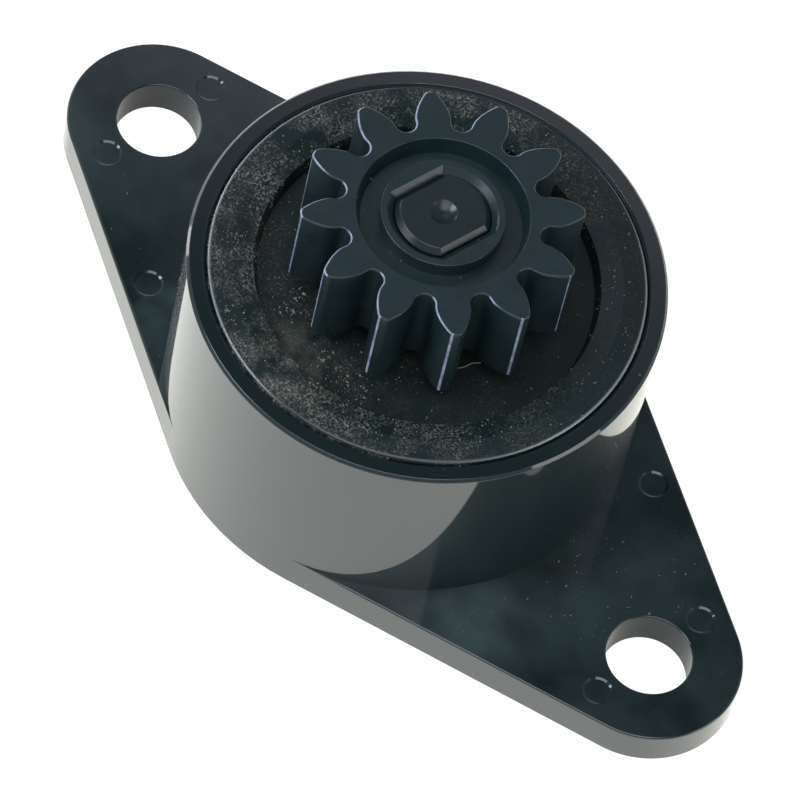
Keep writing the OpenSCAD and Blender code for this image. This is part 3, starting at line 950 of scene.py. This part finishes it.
# The room's colour goes by height, and the high band hangs lower on one side
room_lean = -0.24
room_rise = 1.103
world = bpy.data.worlds.new("pale_room")
bpy.context.scene.world = world
world.use_nodes = True
tree = world.node_tree
tree.nodes.clear()
direction = add(tree, "ShaderNodeSeparateXYZ", {
    "Vector": add(tree, "ShaderNodeTexCoord").outputs["Generated"]})
lean = add(tree, "ShaderNodeMath", {0: direction.outputs["Y"], 1: room_lean, 2: room_rise},
           operation="MULTIPLY_ADD")
sky = add(tree, "ShaderNodeValToRGB", {
    "Fac": add(tree, "ShaderNodeMath", {0: direction.outputs["Z"], 1: lean.outputs[0]},
               operation="MULTIPLY").outputs[0]})
ramp = sky.color_ramp
ramp.elements[0].position = 0
ramp.elements[0].color = (0.85, 0.87, 0.9, 1)
ramp.elements[1].position = 1
ramp.elements[1].color = (0.04, 0.08, 0.09, 1)
for position, colour in (
        (0.05, (0.8, 0.83, 0.87)), (0.18, (0.24, 0.27, 0.29)), (0.5, (0.22, 0.25, 0.27)),
        (0.7, (0.35, 0.37, 0.41)), (0.8, (0.75, 0.73, 0.82)), (0.821, (0.64, 0.61, 0.69)),
        (0.832, (0.29, 0.33, 0.43)), (0.844, (0.04, 0.1, 0.11))):
    ramp.elements.new(position).color = (*colour, 1)
room = add(tree, "ShaderNodeBackground", {"Color": sky.outputs["Color"], "Strength": 1})
tree.links.new(room.outputs[0], add(tree, "ShaderNodeOutputWorld").inputs["Surface"])


def toward(azimuth, elevation):
    """The unit vector at an azimuth from +X towards +Y and an elevation, in degrees."""
    a, e = math.radians(azimuth), math.radians(elevation)
    return Vector((math.cos(e) * math.cos(a), math.cos(e) * math.sin(a), math.sin(e)))


middle = (Vector(cad_box[0]) + Vector(cad_box[1])) / 2
lamp_distance = 0.4


def soft_lamp(name, azimuth, elevation, width, height, power, colour):
    """A rectangular lamp that faces the damper's middle; degrees, metres and watts."""
    lamp = bpy.data.lights.new(name, "AREA")
    lamp.shape = "RECTANGLE"
    lamp.size = width
    lamp.size_y = height
    lamp.energy = power
    lamp.color = linear(colour)[:3]
    holder = bpy.data.objects.new(name, lamp)
    way = toward(azimuth, elevation)
    holder.location = middle + lamp_distance * way
    holder.rotation_euler = way.to_track_quat("Z", "Y").to_euler()
    bpy.context.scene.collection.objects.link(holder)


soft_lamp("lamp", 235, 42, 0.19, 0.19, 1.1, "#e8eeff")
soft_lamp("window", 305, 68, 0.3, 0.3, 0.9, "#f4f6ff")
soft_lamp("skylight", 159, 57, 0.1, 0.12, 0.045, "#e8eeff")
soft_lamp("sill", 184, 5, 0.2, 0.06, 0.2, "#ffffff")
soft_lamp("card", 20, 22, 0.18, 0.18, 0.3, "#ffffff")

# Camera
# The photograph's view: a long lens from above, on the side of one ear, leaning to the right.
view_azimuth = -52.18
view_elevation = 57.77
view_roll = 14.22
view_distance = 409.35 * MM
view_lens = 351.8
aim = Vector((-0.08 * MM, 0.43 * MM, 0))
camera_data = bpy.data.cameras.new("view")
camera_data.lens = view_lens
camera_data.sensor_width = 36
camera_data.clip_start = 0.01
camera = bpy.data.objects.new("view", camera_data)
back = toward(view_azimuth, view_elevation)
roll = Matrix.Rotation(math.radians(view_roll), 3, "Z")
view_turn = back.to_track_quat("Z", "Y").to_matrix() @ roll
camera.location = aim + view_distance * back
camera.rotation_euler = view_turn.to_euler()
bpy.context.scene.collection.objects.link(camera)
bpy.context.scene.camera = camera
bpy.context.scene.view_settings.view_transform = "Standard"
